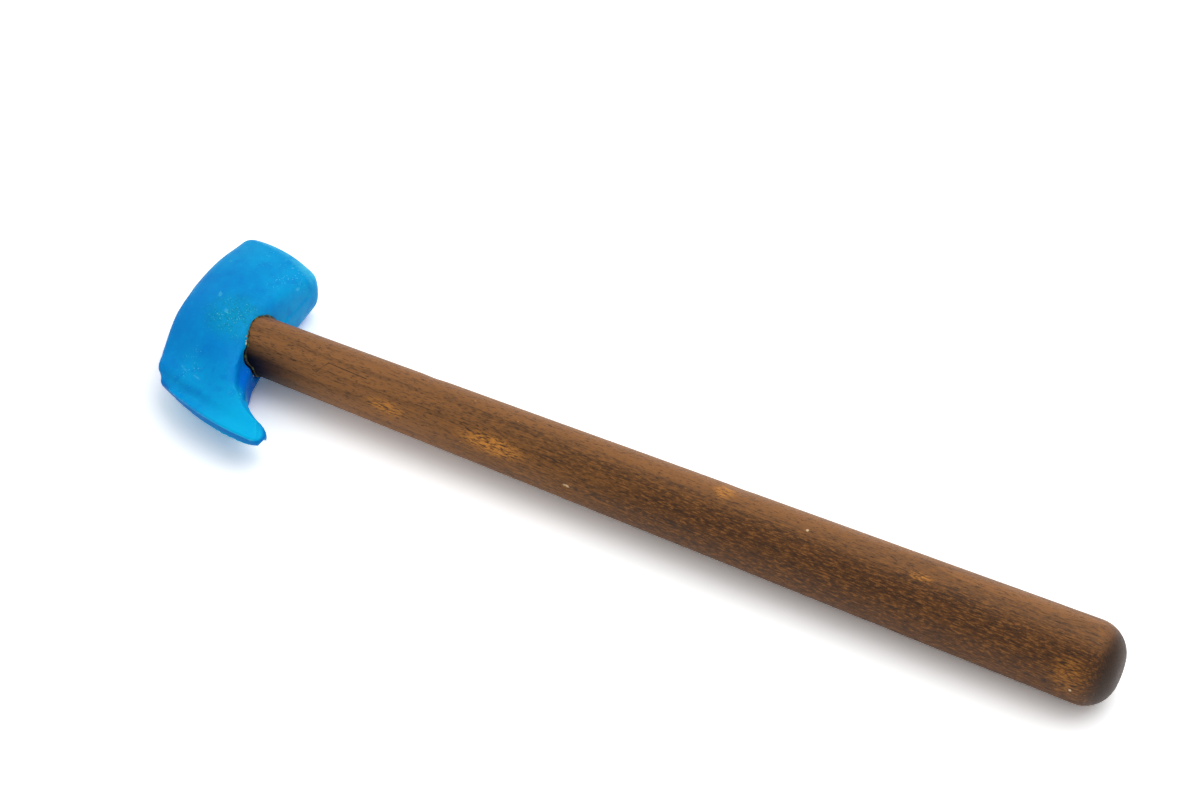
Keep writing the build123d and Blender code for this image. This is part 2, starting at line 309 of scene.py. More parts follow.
@dataclass(frozen=True)
class CastResin:
    """Blue pigmented epoxy, cast in a two-part mould and left as it came out.

    The eye sees clouds of pigment, a glow under thin edges, and a semi-gloss skin that trapped
    bubbles make grainy and greenish where the resin was poured round the tenon. Some light and
    shade is painted into the colour: painted shade on the outer side, on the slope before the
    blade and along its lower band, painted light through the thin blade, behind the neck and at
    the heel's tip, and painted highlights on the parting line and the poll's upper rim. The
    spots are the middle and the half-size of each patch of colour, and how soft its border is.
    """
    body: str = "#0096D8"
    deep: str = "#007ED0"
    pale: str = "#00A4E0"
    # painted shade on the band of the blade's lower half
    shaded_under_edge: str = "#006EC0"
    # painted light through the blade's thin plate
    painted_glow_plate: str = "#00B4DC"
    # painted highlight along the parting line at the blade
    crest_highlight: str = "#20C0F0"
    # real fine specks, and painted light at the heel's tip
    speck_and_lit_heel: str = "#00B8EC"
    lit_through: str = "#0068DC"
    greenish: str = "#0096BE"
    shadowed_green: str = "#007AA4"
    bubble: str = "#62D6EE"
    # painted highlight along the poll's upper rim, over a little wear
    rubbed_and_highlight: str = "#50C6E8"
    cloud_mm: float = 22.0
    mottle_mm: float = 4.0
    grain_mm: float = 0.7  # finer in life, and drawn this coarse so that it shows
    bubble_mm: float = 0.8
    towards_heel: Spot = ((40.0, -40.0, 14.0), (30.0, 26.0, 12.0), 0.9)
    # painted shade on the slope between the eye and the blade
    shaded_slope: Spot = ((10.0, -17.0, 22.0), (13.0, 9.0, 14.0), 0.8)
    behind_neck: Spot = ((24.0, -14.0, 9.0), (11.0, 15.0, 17.0), 0.6)
    # where the painted highlight runs along the parting line at the blade
    parting_crest_highlight: Spot = ((16.0, 35.0, 14.7), (95.0, 77.0, 0.55), 0.8)
    round_tenon: Spot = ((11.0, -3.0, 28.0), (18.0, 15.0, 9.0), 0.7)
    roughness: Limits = (0.34, 0.52)
    skin_relief_mm: float = 0.12
    grain_relief_mm: float = 0.1
    ior: float = 1.55
    specular: float = 0.05  # the mould left a dull skin
    glow: float = 0.3
    glow_mm: float = 3.5
    glow_reach: Point = (0.05, 0.5, 1.0)  # blue light goes furthest

    def material(self) -> Material:
        """Builds the material.

        Returns:
            The material.
        """
        paint = Paint("cast_blue_epoxy", self.body)
        tree, place = paint.tree, paint.place
        axes = add_node(tree, "SeparateXYZ", {"Vector": place}).outputs
        clouds = add_node(tree, "TexNoise", {
            "Vector": place, "Scale": per_mm(self.cloud_mm), "Detail": 3.0, "Distortion": 0.6})
        mottle = add_node(tree, "TexNoise", {
            "Vector": place, "Scale": per_mm(self.mottle_mm), "Detail": 5.0, "Roughness": 0.6})
        grain = add_node(tree, "TexNoise", {
            "Vector": place, "Scale": per_mm(self.grain_mm), "Detail": 2.0})
        cloudy = add_node(tree, "ValToRGB", {"Fac": clouds}, stops=[
            (0.34, colour(self.deep)), (0.66, colour(self.pale))])
        dark_mottles, milky_mottles = (mottle, 0.5, 0.68), (mottle, 0.48, 0.34)
        dust = (grain, 0.55, 0.75)
        paint.coat(cloudy, 0.45)
        paint.coat(self.deep, dark_mottles, 0.5)
        paint.coat(self.pale, milky_mottles, 0.45)
        paint.coat(self.speck_and_lit_heel, dust, 0.3)

        shaded_outer_side = (axes["X"], mm(12.0), mm(-10.0))
        blade_half = (axes["Y"], mm(26.0), mm(6.0))
        # Painted shade: the outer side of the blade's half faces away from the light and is
        # drawn deeper blue.
        paint.coat(self.deep, shaded_outer_side, blade_half, 0.5)
        # Painted light: the heel's tip is drawn lighter where the blade faces the light; the
        # same pale blue makes the real specks above.
        paint.coat(self.speck_and_lit_heel, paint.patch(*self.towards_heel))
        # Painted shade: a darker patch on the slope between the eye and the blade.
        paint.coat(self.deep, paint.patch(*self.shaded_slope), 0.6)
        paint.coat(self.lit_through, paint.patch(*self.behind_neck), 0.9)
        along_edge = paint.mask((axes["Y"], mm(-18.0), mm(-26.0)))
        lower_half = (axes["Z"], mm(14.3), mm(13.4))
        underside = (axes["Z"], mm(11.4), mm(10.4))
        # Painted shade: the lower half's band along the blade's edge faces away from the light
        # and is drawn darker.
        paint.coat(self.shaded_under_edge, along_edge, lower_half, 0.85)
        # Painted light: the blade's underside is drawn lighter, as light that comes through the
        # thin plate.
        paint.coat(self.painted_glow_plate, along_edge, underside, 0.9)
        # Painted highlight along the parting line at the blade's edge, where the upper half's
        # edge catches the light.
        paint.coat(self.crest_highlight, paint.patch(*self.parting_crest_highlight), along_edge, 0.5)

        poured = paint.mask(paint.patch(*self.round_tenon))
        ragged = paint.mask(poured, (mottle, 0.3, 0.6))
        dark_grain = (grain, 0.5, 0.68)
        paint.coat(self.greenish, ragged, 0.7)
        paint.coat(self.shadowed_green, ragged, dark_grain, 0.85)

        cells = add_node(tree, "TexVoronoi", {
            "Vector": place, "Scale": per_mm(self.bubble_mm)})
        dots, uneven, sparse = (cells, 0.3, 0.14), (grain, 0.46, 0.54), (mottle, 0.42, 0.52)
        gathered = add_node(tree, "Math", {
            0: paint.mask((clouds, 0.55, 0.68)), 1: poured}, operation="MAXIMUM")
        paint.coat(self.bubble, dots, uneven, gathered, sparse, 0.9)
        pits = add_node(tree, "Attribute", attribute_name=CastHead.PIT_RIM)
        paint.coat(self.bubble, pits.outputs["Fac"], 0.5)
        # Painted highlight along the poll's upper rim, which faces the light, over a little real
        # wear.
        rim = add_node(tree, "Attribute", attribute_name=CastHead.RUBBED_AND_HIGHLIGHT)
        paint.coat(self.rubbed_and_highlight, rim.outputs["Fac"], (mottle, 0.3, 0.58))

        skin = (mottle, 0.5, self.skin_relief_mm)
        grainy = (paint.mask(grain, poured), 0.6, self.grain_relief_mm)
        return paint.finish(
            mottle, self.roughness, skin, grainy, IOR=self.ior,
            Specular_IOR_Level=self.specular, Subsurface_Weight=self.glow,
            Subsurface_Radius=self.glow_reach, Subsurface_Scale=mm(self.glow_mm))


@dataclass(frozen=True)
class StainedWalnut:
    """Turned walnut, stained dark and wiped over with a thin varnish that hands have worn.

    The eye sees long dark and orange-brown fibres, short open pores and a dull grey sheen.
    Part of the sheen is painted into the colour as a paler far side, and painted shade darkens
    the near side towards the butt and the low side next to the head.
    Sizes of the grain are a length along the axis and a width across it. Worn and bare spots
    are a middle and a half-size, stains are two ends and a width, and a last number between 0
    and 1 says how strongly a worn spot shows.
    """
    dark: str = "#26170A"
    middle: str = "#553515"
    warm: str = "#925E2A"
    # paler towards the head, and a painted sheen on the far side of the shaft
    paler_and_sheen: str = "#A67144"
    # painted shade on the near side of the shaft towards the butt
    shade_brown: str = "#47260A"
    pore: str = "#1C1109"
    # real dark marks, and a painted shadow next to the head
    stain_and_shadow: str = "#0C0807"
    worn: str = "#CC8534"
    bare: str = "#DDBE95"
    end: str = "#2A1B12"
    streak_mm: Limits = (34.0, 1.5)
    fibre_mm: Limits = (2.4, 0.45)  # finer in life, and coarse enough to show
    pore_mm: Limits = (7.0, 0.75)
    ring_mm: float = 4.5
    ring_wave_mm: Limits = (90.0, 14.0)
    ring_wander_mm: float = 9.0
    cut: WoodCut = WoodCut.FLAT_SAWN
    worn_spots: tuple[Spot, ...] = (
        ((119.0, -10.2, 19.6), (17.0, 4.0, 5.0), 1.0),
        ((77.0, -10.4, 18.4), (11.0, 3.0, 3.6), 0.75),
        ((201.0, 2.2, 26.6), (5.0, 6.0, 3.0), 0.9),
        ((272.0, -3.6, 26.9), (6.0, 2.2, 1.6), 0.8),
        ((106.5, 1.0, 25.3), (0.6, 0.5, 0.7), 0.9),
        ((124.6, -1.0, 25.5), (0.6, 0.5, 0.7), 0.9),
        ((107.5, -11.0, 16.4), (0.6, 0.6, 0.5), 0.9),
        ((325.0, -11.0, 17.0), (9.0, 5.0, 9.0), 0.5),
    )
    bare_spots: tuple[tuple[Point, Point], ...] = (
        ((149.0, -11.7, 15.6), (1.6, 0.7, 0.7)),
        ((232.4, -1.9, 26.7), (0.6, 0.6, 0.6)),
        ((327.0, -13.9, 14.0), (0.6, 0.6, 0.6)),
    )
    stains: tuple[Spot, ...] = (
        ((47.2, -8.4, 20.6), (50.6, -5.0, 23.5), 0.32),
        ((50.6, -5.0, 23.5), (66.6, -5.6, 23.3), 0.26),
        ((124.0, -11.3, 11.6), (128.0, -10.8, 9.7), 0.36),
    )
    roughness: Limits = (0.42, 0.64)
    relief_mm: float = 0.1
    ior: float = 1.5
    specular: float = 0.22
    varnish: float = 0.05
    varnish_roughness: float = 0.4

    def along_grain(self, paint: Paint, size_mm: Limits) -> Node:
        """Coordinates in which one unit is a fibre's length along X and its width across."""
        scale = [per_mm(size_mm[number]) for number in (0, 1, 1)]
        return add_node(paint.tree, "VectorMath", {0: paint.place, 1: scale},
                        operation="MULTIPLY")

    def material(self) -> Material:
        """Builds the material.

        Returns:
            The material.
        """
        paint = Paint("turned_stained_walnut", self.middle)
        tree = paint.tree
        axes = add_node(tree, "SeparateXYZ", {"Vector": paint.place}).outputs
        streaks = add_node(tree, "TexNoise", {
            "Vector": self.along_grain(paint, self.streak_mm), "Scale": 1.0, "Detail": 5.0,
            "Roughness": 0.62})
        fibres = add_node(tree, "TexNoise", {
            "Vector": self.along_grain(paint, self.fibre_mm), "Scale": 1.0, "Detail": 4.0,
            "Roughness": 0.7})
        across = add_node(tree, "VectorMath", {0: paint.place, 1: self.cut.value},
                          operation="DOT_PRODUCT")
        wander = add_node(tree, "TexNoise", {
            "Vector": self.along_grain(paint, self.ring_wave_mm), "Scale": 1.0})
        ring_height = add_node(tree, "Math", {
            0: wander, 1: mm(self.ring_wander_mm), 2: across.outputs["Value"],
        }, operation="MULTIPLY_ADD")
        rings = add_node(tree, "Math", {
            0: paint.mask(ring_height, per_mm(self.ring_mm))}, operation="FRACT")

        streaky = add_node(tree, "ValToRGB", {"Fac": streaks}, stops=[
            (0.3, colour(self.dark)), (0.62, colour(self.warm))])
        paint.coat(streaky, 0.58)
        nearer_head = (axes["X"], mm(170.0), mm(60.0))
        lit_far_side = (axes["Y"], mm(-7.0), mm(5.0))
        paler_and_sheen = add_node(tree, "Math", {
            0: paint.mask(nearer_head, 0.5), 1: paint.mask(lit_far_side, 0.68),
        }, operation="MAXIMUM")
        # Paler towards the head, and a painted sheen: the far side of the shaft, where light
        # falls, is drawn paler.
        paint.coat(self.paler_and_sheen, paler_and_sheen)
        towards_butt = (axes["X"], mm(135.0), mm(200.0))
        shaded_near_side = (axes["Y"], mm(-1.0), mm(-9.0))
        # Painted shade: towards the butt, the near side of the shaft is drawn darker and more
        # orange.
        paint.coat(self.shade_brown, towards_butt, shaded_near_side, 0.7)
        late_wood = (rings, 0.55, 0.98)
        bright_fibres, dark_fibres = (fibres, 0.5, 0.64), (fibres, 0.48, 0.34)
        paint.coat(self.dark, late_wood, 0.3)
        paint.coat(self.warm, bright_fibres, 0.85)
        paint.coat(self.dark, dark_fibres, 0.8)
        cells = add_node(tree, "TexVoronoi", {
            "Vector": self.along_grain(paint, self.pore_mm), "Scale": 1.0})
        pores, between_pores = (cells, 0.26, 0.12), (cells, 0.12, 0.26)
        paint.coat(self.pore, pores, 0.4)

        for centre, reach, share in self.worn_spots:
            paint.coat(self.worn, paint.patch(centre, reach, 0.8), (fibres, 0.42, 0.56), share)
        for centre, reach in self.bare_spots:
            paint.coat(self.bare, paint.patch(centre, reach, 0.5))
        for start, end, width in self.stains:
            paint.coat(self.stain_and_shadow, paint.hairline(start, end, width), (fibres, 0.4, 0.5), 0.85)
        # Painted shadow of the head, with some real staining, darkens the low side of the handle
        # next to the mouth.
        near_head = (axes["X"], mm(52.0), mm(19.0))
        low_side = (axes["Z"], mm(24.0), mm(16.5))
        outside_the_eye = (axes["X"], mm(8.0), mm(14.0))
        paint.coat(self.stain_and_shadow, near_head, low_side, outside_the_eye)
        butt_end = (axes["X"], mm(330.0), mm(335.5))
        paint.coat(self.end, butt_end, 0.9)

        furrows = (fibres, 0.7, self.relief_mm)
        open_pores = (between_pores, 0.6, self.relief_mm)
        return paint.finish(
            streaks, self.roughness, furrows, open_pores, IOR=self.ior,
            Specular_IOR_Level=self.specular, Coat_Weight=self.varnish,
            Coat_Roughness=self.varnish_roughness)


@dataclass(frozen=True)
class SandedBeech:
    """Bare beech, driven in and sanded flush: pale, dry end grain with fine flecks."""
    light: str = "#C69C6A"
    dark: str = "#8A6238"
    ring_mm: float = 1.6
    fleck_mm: float = 0.5  # finer in life, and drawn this coarse so that it shows
    cut: WoodCut = WoodCut.END_GRAIN
    roughness: Limits = (0.7, 0.85)
    relief_mm: float = 0.08
    ior: float = 1.5

    def material(self) -> Material:
        """Builds the material.

        Returns:
            The material.
        """
        paint = Paint("sanded_beech", self.light)
        across = add_node(paint.tree, "VectorMath", {
            0: paint.place, 1: self.cut.value}, operation="DOT_PRODUCT")
        rings = add_node(paint.tree, "Math", {
            0: paint.mask(across.outputs["Value"], per_mm(self.ring_mm))}, operation="FRACT")
        flecks = add_node(paint.tree, "TexNoise", {
            "Vector": paint.place, "Scale": per_mm(self.fleck_mm), "Detail": 3.0})
        paint.coat(self.dark, rings, 0.5)
        paint.coat(self.dark, (flecks, 0.5, 0.7), 0.7)
        relief = (flecks, 0.5, self.relief_mm)
        return paint.finish(flecks, self.roughness, relief, IOR=self.ior)


@dataclass(frozen=True)
class CuredAdhesive:
    """Squeezed-out epoxy glue, cured dark and dirty, with yellow-green and pale crumbs in it."""
    dark: str = "#161A14"
    olive: str = "#4E5A20"
    crumb: str = "#C9BE8C"
    blot_mm: float = 1.6
    crumb_mm: float = 0.8
    roughness: Limits = (0.3, 0.65)
    relief_mm: float = 0.15
    ior: float = 1.5

    def material(self) -> Material:
        """Builds the material.

        Returns:
            The material.
        """
        paint = Paint("cured_epoxy_glue", self.dark)
        blots = add_node(paint.tree, "TexNoise", {
            "Vector": paint.place, "Scale": per_mm(self.blot_mm), "Detail": 4.0})
        crumbs = add_node(paint.tree, "TexNoise", {
            "Vector": paint.place, "Scale": per_mm(self.crumb_mm), "Detail": 3.0})
        paint.coat(self.olive, (blots, 0.5, 0.62))
        paint.coat(self.crumb, (crumbs, 0.66, 0.74))
        relief = (crumbs, 0.8, self.relief_mm)
        return paint.finish(blots, self.roughness, relief, IOR=self.ior)


@dataclass(frozen=True)
class DriedGlueChip:
    """A flake of dried white wood glue: chalky, pale and slightly yellow."""
    pale: str = "#D9CFB4"
    dirty: str = "#8F8358"
    blot_mm: float = 0.7
    roughness: Limits = (0.65, 0.85)
    relief_mm: float = 0.1

    def material(self) -> Material:
        """Builds the material.

        Returns:
            The material.
        """
        paint = Paint("dried_wood_glue", self.pale)
        blots = add_node(paint.tree, "TexNoise", {
            "Vector": paint.place, "Scale": per_mm(self.blot_mm), "Detail": 4.0})
        paint.coat(self.dirty, (blots, 0.4, 0.65))
        relief = (blots, 0.6, self.relief_mm)
        return paint.finish(blots, self.roughness, relief)


@dataclass(frozen=True)
class PaleTable:
    """Matt white laminate: it shows soft shadows and almost nothing of its own."""
    white: str = "#FAFAFA"
    grey: str = "#F6F7F8"
    mottle_mm: float = 60.0
    roughness: Limits = (0.65, 0.75)
    relief_mm: float = 0.05
    specular: float = 0.1
    extra_white: float = 0.5  # seen by the camera only, so that the table reaches white

    def material(self) -> Material:
        """Builds the material.

        Returns:
            The material.
        """
        paint = Paint("matt_white_laminate", self.white)
        tree = paint.tree
        mottle = add_node(tree, "TexNoise", {
            "Vector": paint.place, "Scale": per_mm(self.mottle_mm), "Detail": 4.0})
        paint.coat(self.grey, mottle)
        relief = (mottle, 0.02, self.relief_mm)
        material = paint.finish(mottle, self.roughness, relief,
                                Specular_IOR_Level=self.specular)
        rays = add_node(tree, "LightPath").outputs
        seen = rays["Is Camera Ray"]
        for other in ("Is Glossy Ray", "Is Transmission Ray"):
            seen = add_node(tree, "Math", {0: seen, 1: rays[other]}, operation="MAXIMUM")
        extra = add_node(tree, "BsdfDiffuse", {
            "Color": paint.mask(seen, self.extra_white)})
        both = add_node(tree, "AddShader", {0: paint.shader, 1: extra})
        tree.links.new(both.outputs[0], tree.nodes["Material Output"].inputs["Surface"])
        return material


# ---- meshes ----

def add_object(name: str, data: bpy.types.ID) -> Piece:
    """Puts a mesh, a lamp or a camera in the scene."""
    added = bpy.data.objects.new(name, data)
    bpy.context.scene.collection.objects.link(added)
    return added


def join_rings(shape: Shape, ring: list[Vertex], other: list[Vertex]) -> None:
    """Spans faces between two rings whose points are in the same order."""
    for here, after in zip(range(len(ring)), [*range(1, len(ring)), 0]):
        shape.faces.new((ring[here], ring[after], other[after], other[here]))


def link_piece(name: str, shape: Shape) -> Piece:
    """Puts a finished shape in the scene as a piece that rides on the hammer.

    Args:
        name: Name of the piece and of its mesh.
        shape: The shape, which is used up.

    Returns:
        The piece.
    """
    mesh = bpy.data.meshes.new(name)
    shape.to_mesh(mesh)
    shape.free()
    piece = add_object(name, mesh)
    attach(piece, BODY)
    return piece


def dress_piece(piece: Piece, material: Material) -> None:
    """Gives a piece its material.

    Args:
        piece: The piece, whether new or packed.
        material: Its finish.
    """
    piece.data.materials.clear()
    piece.data.materials.append(material)


def modified(mesh: Mesh, *modifiers: tuple[str, dict[str, object]]) -> Mesh:
    """Runs modifiers over a mesh.

    Args:
        mesh: The mesh, which is used up.
        *modifiers: The kind of each modifier, and its settings.

    Returns:
        The new mesh.
    """
    carrier = add_object("carrier", mesh)
    for kind, settings in modifiers:
        modifier = carrier.modifiers.new(kind.lower(), kind)
        for name, value in settings.items():
            setattr(modifier, name, value)
    evaluated = carrier.evaluated_get(bpy.context.evaluated_depsgraph_get())
    result = bpy.data.meshes.new_from_object(evaluated)
    bpy.data.objects.remove(carrier)
    bpy.data.meshes.remove(mesh)
    return result


def shade_by_angle(shape: Shape, sharp_degrees: float) -> None:
    """Smooths the shading except across edges that turn by more than an angle.

    Args:
        shape: The shape.
        sharp_degrees: The angle.
    """
    for face in shape.faces:
        face.smooth = True
    for edge in shape.edges:
        edge.smooth = edge.calc_face_angle(0.0) < math.radians(sharp_degrees)


@dataclass(frozen=True)
class Zone:
    """A box of the head in which edges are rounded, and how many times they are smoothed."""
    rounds: int
    low_mm: Point = (-FAR_MM, -FAR_MM, -FAR_MM)
    high_mm: Point = (FAR_MM, FAR_MM, FAR_MM)

    def points_in(self, shape: Shape) -> list[Vertex]:
        """The shape's points inside the box."""
        return [vertex for vertex in shape.verts if all(
            mm(low) < value < mm(high)
            for low, value, high in zip(self.low_mm, vertex.co, self.high_mm))]


@dataclass
class CastHead:
    """The casting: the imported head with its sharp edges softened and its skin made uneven."""
    voxel_mm: float = 0.34
    softening_rounds: int = 8
    kept_share: float = 0.22  # of the fine skin's triangles, after it is smoothed
    lump_mm: float = 11.0
    lump_depth_mm: float = 0.12
    ripple_mm: float = 2.6
    ripple_depth_mm: float = 0.03
    pit_count: int = 26
    pit_radius_mm: Limits = (0.28, 0.5)
    pit_depth: float = 0.55  # of its radius
    pit_rim_width: float = 0.55  # of its radius, inside and outside its lip
    pit_chance: Limits = (0.9, 0.25)  # on the upper half towards the poll, and elsewhere
    eye_mm: float = 12.0  # no pit is nearer to the handle's axis
    resting_mm: float = 0.3  # up to this height the skin stays as it is packed
    # width of the painted highlight and wear along the poll's rim
    highlight_and_wear_rim_mm: float = 5.5
    rake_degrees: float = 9.6  # of the head's long side from square to the handle
    hollow_mm: Point = (50.8, -4.9, 14.0)  # middle of the hollow behind the blade
    hollow_radius_mm: float = 31.5
    hollow_wall_mm: float = 4.0  # to each side of the wall that the step runs along
    step: Zone = Zone(110, (12.0, -27.0, 5.0), (FAR_MM, -5.0, 20.0))
    blade: tuple[Zone, ...] = (
        Zone(30, high_mm=(FAR_MM, -24.0, 13.4)),  # lower edge
        Zone(26, (41.5, -FAR_MM, -FAR_MM), (FAR_MM, -30.0, FAR_MM)),  # heel
        Zone(50, (42.8, -FAR_MM, -FAR_MM), (FAR_MM, -30.0, 15.0)),  # tip of the heel
        Zone(40, high_mm=(6.0, -22.0, 18.0)),  # toe
    )
    seed: int = 7

    PIT_RIM = "pit_rim"
    RUBBED_AND_HIGHLIGHT = "rubbed_and_highlight"

    def build(self) -> Piece:
        """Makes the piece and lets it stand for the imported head.

        Returns:
            The piece.
        """
        fine = self.softened()
        shape = bmesh.new()
        shape.from_mesh(fine)
        self.blend_step(shape)
        self.soften_blade(shape)
        shape.to_mesh(fine)
        shape.clear()
        light = modified(fine, ("DECIMATE", {"ratio": self.kept_share}))
        shape.from_mesh(light)
        bpy.data.meshes.remove(light)
        pits = self.pit_places(shape)
        self.refine_pits(shape, pits)
        self.roughen(shape, pits)
        shade_by_angle(shape, 180.0)
        head = link_piece("cast_head", shape)
        self.mark(head.data, pits)
        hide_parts("head")
        return head

    def dress(self, head: Piece) -> None:
        """Gives the casting its resin."""
        dress_piece(head, CastResin().material())

    def softened(self) -> Mesh:
        """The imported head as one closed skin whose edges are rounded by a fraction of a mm."""
        return modified(
            frame["nodes"]["head"].data.copy(),
            ("WELD", {"merge_threshold": mm(WELD_MM)}),
            ("REMESH", {"mode": "VOXEL", "voxel_size": mm(self.voxel_mm)}),
            ("SMOOTH", {"factor": 0.5, "iterations": self.softening_rounds}),
        )

    def smooth(self, shape: Shape, verts: list[Vertex], rounds: int) -> None:
        """Draws points half of the way to the middle of their neighbours, round by round."""
        for _ in range(rounds):
            bmesh.ops.smooth_vert(shape, verts=verts, factor=0.5, use_axis_x=True,
                                  use_axis_y=True, use_axis_z=True)

    def blend_step(self, shape: Shape) -> None:
        """Melts the parting step into one sloping wall in the hollow, next to the handle.

        Args:
            shape: The casting.
        """
        middle, radius = mm_vector(self.hollow_mm), mm(self.hollow_radius_mm)
        wall = [vertex for vertex in self.step.points_in(shape) if abs(math.hypot(
            vertex.co.x - middle.x, vertex.co.y - middle.y) - radius) < mm(self.hollow_wall_mm)]
        self.smooth(shape, wall, self.step.rounds)

    def soften_blade(self, shape: Shape) -> None:
        """Rounds the thin lower edge of the blade, its heel and its toe."""
        chosen = [(zone.points_in(shape), zone.rounds) for zone in self.blade]
        for verts, rounds in chosen:
            self.smooth(shape, verts, rounds)

    def pit_places(self, shape: Shape) -> list[Pit]:
        """Chooses flat places for the burst bubbles.

        Args:
            shape: The casting.

        Returns:
            The pits, most of them on the poll and round the eye.
        """
        dice = random.Random(self.seed)
        shape.faces.ensure_lookup_table()
        likely, unlikely = self.pit_chance
        places: list[Pit] = []
        while len(places) < self.pit_count:
            face = shape.faces[dice.randrange(len(shape.faces))]
            centre = face.calc_center_median()
            upper_poll = centre.z > mm(PARTING_MM) and centre.y > mm(-6.0)
            inside_eye = math.hypot(centre.y, centre.z - AXIS_Z) < mm(self.eye_mm)
            radius = mm(dice.uniform(*self.pit_radius_mm))
            passed_over = dice.random() > (likely if upper_poll else unlikely)
            if passed_over or centre.z < mm(1.0) or inside_eye:
                continue
            if all(vertex.normal.dot(face.normal) > 0.9 for vertex in shape.verts
                   if (vertex.co - centre).length < 4.0 * radius):
                places.append((centre, radius))
        return places

    def refine_pits(self, shape: Shape, pits: list[Pit]) -> None:
        """Divides the mesh round each pit, so that the pit comes out round.

        Args:
            shape: The casting.
            pits: Its pits.
        """
        near = [edge for edge in shape.edges if any(
            all((vertex.co - centre).length < 2.4 * radius for vertex in edge.verts)
            for centre, radius in pits)]
        bmesh.ops.subdivide_edges(shape, edges=near, cuts=2, use_grid_fill=True)
        bmesh.ops.triangulate(shape, faces=[face for face in shape.faces if len(face.verts) > 4])

    def roughen(self, shape: Shape, pits: list[Pit]) -> None:
        """Moves the skin in by lumps, ripples and pits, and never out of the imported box.

        Args:
            shape: The casting.
            pits: Its pits.
        """
        low, high = HEAD_BOX
        shape.normal_update()
        moves = []
        for vertex in shape.verts:
            lump = noise.noise(vertex.co * per_mm(self.lump_mm)) - 1.0
            ripple = noise.noise(vertex.co * per_mm(self.ripple_mm)) - 1.0
            depth = mm(self.lump_depth_mm) * lump / 2.0 + mm(self.ripple_depth_mm) * ripple / 2.0
            for centre, radius in pits:
                reach = (vertex.co - centre).length / radius
                if reach < 1.0:
                    depth -= self.pit_depth * radius * (1.0 - reach * reach)
            resting = vertex.co.z < mm(self.resting_mm)
            moves.append(Vector() if resting else vertex.normal * depth)
        for vertex, move in zip(shape.verts, moves):
            moved = vertex.co + move
            vertex.co = [min(max(value, least), most) for value, least, most in
                         zip(moved, low, high)]

    def mark(self, mesh: Mesh, pits: list[Pit]) -> None:
        """Writes where the pits' pale rims are, and where the striking end's upper rim gets its
        painted highlight over a little wear.

        Args:
            mesh: The finished casting.
            pits: Its pits.
        """
        rims = mesh.attributes.new(self.PIT_RIM, "FLOAT", "POINT")
        rubbed_and_highlight = mesh.attributes.new(self.RUBBED_AND_HIGHLIGHT, "FLOAT", "POINT")
        rake = math.radians(self.rake_degrees)
        towards_poll = Vector((math.sin(rake), math.cos(rake), 0.0))
        face = max(vertex.co.dot(towards_poll) for vertex in mesh.vertices)
        for number, vertex in enumerate(mesh.vertices):
            share = 0.0
            for centre, radius in pits:
                reach = (vertex.co - centre).length / radius
                share = max(share, 1.0 - abs(reach - 0.9) / self.pit_rim_width)
            rims.data[number].value = 0.8 * share
            # The poll's upper rim gets a painted highlight where it faces up, over a little real
            # wear.
            beside = (face - vertex.co.dot(towards_poll)) / mm(self.highlight_and_wear_rim_mm)
            facing_up = min(max(2.0 * vertex.normal.z, 0.0), 1.0)
            rubbed_and_highlight.data[number].value = math.sqrt(max(1.0 - beside, 0.0)) * facing_up


